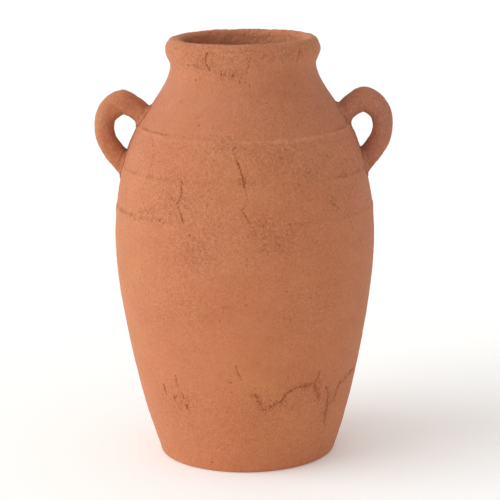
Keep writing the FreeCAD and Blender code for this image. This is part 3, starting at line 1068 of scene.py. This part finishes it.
def handles(wall, handle_clay, luting_clay):
    """Both handles, each with a luting at its upper and its lower root."""
    turn = full_turn(HANDLE_AROUND)
    share = np.linspace(0, 1, HANDLE_ALONG)[:, None]
    for word, side in SIDES.items():
        handle = Handle(side)
        start = root_line(handle, turn, True, wall) - ROOT_DEPTH
        end = root_line(handle, turn, False, wall) + ROOT_DEPTH
        points = handle.kneaded(start + (end - start) * share, turn[None, :] + 0 * share)
        # Painted shade on the roll near its roots
        roll_shade = root_shade(handle, points, wall)
        piece = capped_piece(word + "_handle_clay", points, roll_shade, HANDLE_SAND)
        dress(piece, word + "_handle", handle_clay)
        for root, upper in ROOTS.items():
            node = word + "_" + root + "_luting"
            piece = luting_piece(node + "_clay", handle, upper, ROOT_GAPS[node], wall)
            dress(piece, node, luting_clay)


# ---------------------------------------------------------------- materials

class NodeTree:
    """Short names for building a node tree."""

    def __init__(self, tree):
        self.nodes = tree.nodes
        self.links = tree.links

    def add(self, kind, **settings):
        node = self.nodes.new(kind)
        for key, value in settings.items():
            setattr(node, key, value)
        return node

    def link(self, source, target):
        self.links.new(source, target)

    def noise(self, coordinates, scale, detail, roughness=0.55):
        node = self.add("ShaderNodeTexNoise")
        node.inputs["Scale"].default_value = scale
        node.inputs["Detail"].default_value = detail
        node.inputs["Roughness"].default_value = roughness
        self.link(coordinates, node.inputs["Vector"])
        return node.outputs["Fac"]

    def ramp(self, value, low, high, bottom=0.0, top=1.0):
        """Remaps a value so that low becomes bottom and high becomes top, and no further."""
        node = self.add("ShaderNodeMapRange")
        ends = {"From Min": low, "From Max": high, "To Min": bottom, "To Max": top}
        for socket, end in ends.items():
            node.inputs[socket].default_value = end
        self.link(value, node.inputs["Value"])
        return node.outputs["Result"]

    def math(self, operation, first, second):
        node = self.add("ShaderNodeMath", operation=operation)
        for socket, value in zip(node.inputs, (first, second)):
            if isinstance(value, (int, float)):
                socket.default_value = value
            else:
                self.link(value, socket)
        return node.outputs["Value"]

    def mix(self, amount, first, second):
        node = self.add("ShaderNodeMix", data_type="RGBA")
        self.link(amount, node.inputs["Factor"])
        for socket, value in ((node.inputs[6], first), (node.inputs[7], second)):
            if isinstance(value, tuple):
                socket.default_value = value + (1.0,)
            else:
                self.link(value, socket)
        return node.outputs[2]

    def times(self, first, second):
        return self.math("MULTIPLY", first, second)

    def tint(self, colour, amount, strength, toward):
        """Moves a colour toward another by an amount, as far as a strength."""
        return self.mix(self.times(amount, strength), colour, toward)


class Shader(NodeTree):
    """A new material and its surface."""

    def __init__(self, name):
        self.material = bpy.data.materials.new(name)
        self.material.use_nodes = True
        super().__init__(self.material.node_tree)
        self.surface = self.nodes["Principled BSDF"]


def clay_colour(shader, place, upper, lower, levels, right_shade):
    """The colour without its grain: it drifts from place to place and with the height; painted shade
    darkens the neck.
    """
    height = shader.add("ShaderNodeSeparateXYZ")
    shader.link(place, height.inputs["Vector"])
    x, z = height.outputs["X"], height.outputs["Z"]
    level = shader.math("ADD", shader.ramp(z, *levels), shader.times(shader.noise(place, 9.0, 2.0), 0.3))
    colour = shader.mix(shader.ramp(level, 0.1, 1.2), lower, upper)
    hue = shader.noise(place, 15.0, 3.0, 0.5)
    colour = shader.tint(colour, shader.ramp(hue, 0.5, 0.3), 0.55, RED_CLAY)
    colour = shader.tint(colour, shader.ramp(hue, 0.5, 0.7), 0.55, OCHRE_CLAY)
    # Painted shade: a darker band round the neck's upward slope
    neck = shader.times(shader.ramp(z, 0.30, 0.34), shader.ramp(z, 0.385, 0.365))
    colour = shader.tint(colour, neck, 0.5, NECK_SHADE_CLAY)
    # Painted shade: greyer clay on the jar's right side
    if right_shade:
        colour = shader.tint(colour, shader.ramp(x, 0.06, 0.11), right_shade, RIGHT_SIDE_SHADE_CLAY)
    patches = shader.ramp(shader.noise(place, 24.0, 5.0, 0.6), 0.4, 0.66)
    colour = shader.tint(colour, patches, 0.5, DEEP_CLAY)
    bloom = shader.ramp(shader.noise(place, 46.0, 6.0, 0.62), 0.46, 0.72)
    return shader.tint(colour, bloom, 0.32, PALE_CLAY)


def add_grain(shader, place, colour, coarse, fine, sand):
    """Dark and pale sand grains in two sizes, and a few dark specks."""
    for value, low, high, strength, grain in ((coarse, 0.47, 0.30, 0.28, DARK_GRAIN),
                                              (coarse, 0.52, 0.70, 0.26, PALE_GRAIN),
                                              (fine, 0.46, 0.32, 0.30, DARK_GRAIN),
                                              (fine, 0.53, 0.66, 0.36, PALE_GRAIN)):
        colour = shader.tint(colour, shader.times(shader.ramp(value, low, high), sand), strength, grain)
    specks = shader.ramp(shader.noise(place, 620.0, 2.0, 0.5), 0.655, 0.71)
    return shader.tint(colour, specks, 0.6, DARK_GRAIN)


def add_marks(shader, place, colour, mark):
    """Pale rubbed clay and painted light where the mark is below 0, dirt and painted shade where above."""
    colour = shader.tint(colour, shader.ramp(mark, -0.05, -0.9), 0.5, RUBBED_CLAY_AND_PAINTED_LIGHT)
    flecks = shader.ramp(shader.noise(place, 520.0, 2.0, 0.5), 0.42, 0.64)
    broken = shader.times(mark, shader.math("ADD", shader.times(flecks, 2.4), 0.3))
    return shader.tint(colour, shader.ramp(broken, 0.12, 0.9), 0.85, CRACK_DIRT_AND_SHADE)


def clay_material(name, upper, lower, relief, levels=(0.04, 0.42), right_shade=0.0):
    """Unglazed sandy clay: pinker at the top, drifting in colour, dark with dirt and painted shade in
    its hollows and cracks.

    The colour changes from lower to upper between two levels; on the handles the darker lower clay
    is painted shade.  Painted shade can also make the clay greyer on the jar's right side.
    """
    shader = Shader(name)
    place = shader.add("ShaderNodeTexCoord").outputs["Object"]
    mark = shader.add("ShaderNodeAttribute", attribute_name="mark").outputs["Fac"]
    sand = shader.add("ShaderNodeAttribute", attribute_name="sand").outputs["Fac"]
    mottle = shader.ramp(shader.noise(place, 190.0, 4.0, 0.65), 0.36, 0.68)
    coarse = shader.noise(place, 380.0, 3.0, 0.65)
    fine = shader.noise(place, 950.0, 3.0, 0.7)

    colour = clay_colour(shader, place, upper, lower, levels, right_shade)
    colour = shader.tint(colour, mottle, 0.2, PALE_CLAY)
    colour = add_grain(shader, place, colour, coarse, fine, sand)
    shader.link(add_marks(shader, place, colour, mark), shader.surface.inputs["Base Color"])

    rough = shader.math("ADD", shader.times(mottle, 0.08), 0.8)
    shader.link(rough, shader.surface.inputs["Roughness"])
    shader.surface.inputs["Specular IOR Level"].default_value = 0.35
    shader.surface.inputs["Sheen Weight"].default_value = 0.06
    shader.surface.inputs["Sheen Roughness"].default_value = 0.6

    bump = shader.add("ShaderNodeBump")
    bump.inputs["Distance"].default_value = 0.0012
    grit = shader.math("ADD", shader.times(fine, 0.55), shader.times(coarse, 1.2))
    shader.link(shader.times(sand, relief), bump.inputs["Strength"])
    shader.link(grit, bump.inputs["Height"])
    shader.link(bump.outputs["Normal"], shader.surface.inputs["Normal"])
    return shader.material


# ---------------------------------------------------------------- studio

def studio_floor():
    floor_mesh = bpy.data.meshes.new("studio_floor")
    corners = [(x * FLOOR_HALF, y * FLOOR_HALF, 0) for x, y in ((-1, -1), (1, -1), (1, 1), (-1, 1))]
    floor_mesh.from_pydata(corners, [], [(0, 1, 2, 3)])
    floor = bpy.data.objects.new("studio_floor", floor_mesh)
    floor.location.z = -FLOOR_SUNK
    bpy.context.collection.objects.link(floor)
    paint = Shader("studio_floor_paint")
    paint.surface.inputs["Base Color"].default_value = FLOOR_COLOUR
    paint.surface.inputs["Roughness"].default_value = 0.9
    paint.surface.inputs["Emission Color"].default_value = WHITE
    paint.surface.inputs["Emission Strength"].default_value = FLOOR_GLOW
    floor_mesh.materials.append(paint.material)


def key_light():
    key = bpy.data.lights.new("key", "SUN")
    key.energy = KEY_STRENGTH
    key.angle = math.radians(KEY_WIDTH)
    key.color = KEY_COLOUR
    lamp = bpy.data.objects.new("key", key)
    turn = math.radians(KEY_TURN)
    toward_key = Vector((-math.sin(turn), -math.cos(turn), math.tan(math.radians(KEY_CLIMB))))
    lamp.rotation_euler = toward_key.to_track_quat("Z", "Y").to_euler()
    bpy.context.collection.objects.link(lamp)


def sky():
    """A soft sky that is brighter low down and on the left, and plain white to the camera."""
    world = bpy.data.worlds.new("studio_world")
    world.use_nodes = True
    shader = NodeTree(world.node_tree)
    lighting = shader.nodes["Background"]
    lighting.inputs["Color"].default_value = SKY_COLOUR
    direction = shader.add("ShaderNodeSeparateXYZ")
    shader.link(shader.add("ShaderNodeTexCoord").outputs["Generated"], direction.inputs["Vector"])
    fall = shader.ramp(direction.outputs["Z"], 0.0, 1.0, HORIZON_LIGHT, ZENITH_LIGHT)
    turn = shader.ramp(direction.outputs["X"], -1.0, 1.0, LEFT_LIGHT, RIGHT_LIGHT)
    shader.link(shader.math("MULTIPLY", fall, turn), lighting.inputs["Strength"])
    backdrop = shader.add("ShaderNodeBackground")
    backdrop.inputs["Color"].default_value = WHITE
    choice = shader.add("ShaderNodeMixShader")
    shader.link(shader.add("ShaderNodeLightPath").outputs["Is Camera Ray"], choice.inputs["Fac"])
    shader.link(lighting.outputs["Background"], choice.inputs[1])
    shader.link(backdrop.outputs["Background"], choice.inputs[2])
    shader.link(choice.outputs["Shader"], shader.nodes["World Output"].inputs["Surface"])
    bpy.context.scene.world = world
    bpy.context.scene.view_settings.view_transform = "Standard"


def camera():
    lens = bpy.data.cameras.new("camera")
    lens.lens = LENS
    lens.sensor_width = 36.0
    lens.clip_end = 100.0
    eye = bpy.data.objects.new("camera", lens)
    eye.location = (0.0, -CAMERA_DISTANCE, CAMERA_HEIGHT)
    look = (Vector(CAMERA_AIM) - eye.location).to_track_quat("-Z", "Y")
    eye.rotation_euler = look.to_euler()
    eye.rotation_euler.rotate_axis("Z", math.radians(CAMERA_ROLL))
    bpy.context.collection.objects.link(eye)
    bpy.context.scene.camera = eye


# ---------------------------------------------------------------- the jar

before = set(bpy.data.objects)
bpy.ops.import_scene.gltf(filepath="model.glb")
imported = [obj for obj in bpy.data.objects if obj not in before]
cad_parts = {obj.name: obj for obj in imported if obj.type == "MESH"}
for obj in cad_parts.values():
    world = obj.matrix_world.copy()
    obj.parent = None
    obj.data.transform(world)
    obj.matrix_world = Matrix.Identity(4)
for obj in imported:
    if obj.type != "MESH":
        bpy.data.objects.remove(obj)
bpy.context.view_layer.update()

JOINTS = {
    "belly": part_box("belly_band")[0][2],
    "shoulder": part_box("shoulder_band")[0][2],
    "neck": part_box("neck_cone")[0][2],
    "rim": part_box("rim_roll")[0][2],
}
KEY_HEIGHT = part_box("belly_band")[1][2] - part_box("shoulder_band")[0][2]


WALL_NODES = ("lower_wall", "belly_band", "shoulder_band", "neck_cone", "rim_roll")
sections = np.concatenate([section_segments(node) for node in WALL_NODES])
outside = outside_skin(sections)
inside = inside_skin(sections)
shape_outside(outside)
shape_inside(inside)

clay = clay_material("terracotta_wall", UPPER_CLAY, LOWER_CLAY, 0.6)
# On handles and lutings the darker lower clay is painted shade, and the last value paints shade on the
# right side
handle_clay = clay_material("terracotta_handles", HANDLE_TOP_CLAY, HANDLE_LOW_SHADE_CLAY, 0.45, (0.27, 0.35), 0.5)
luting_clay = clay_material("terracotta_luting", HANDLE_TOP_CLAY, HANDLE_LOW_SHADE_CLAY, 0.6, (0.27, 0.35), 0.5)
wall_table = WallTable(outside)
score_roots(outside, wall_table)
wall_sections(outside, inside, clay)
floor_disc(clay)
handles(wall_table, handle_clay, luting_clay)

studio_floor()
key_light()
sky()
camera()
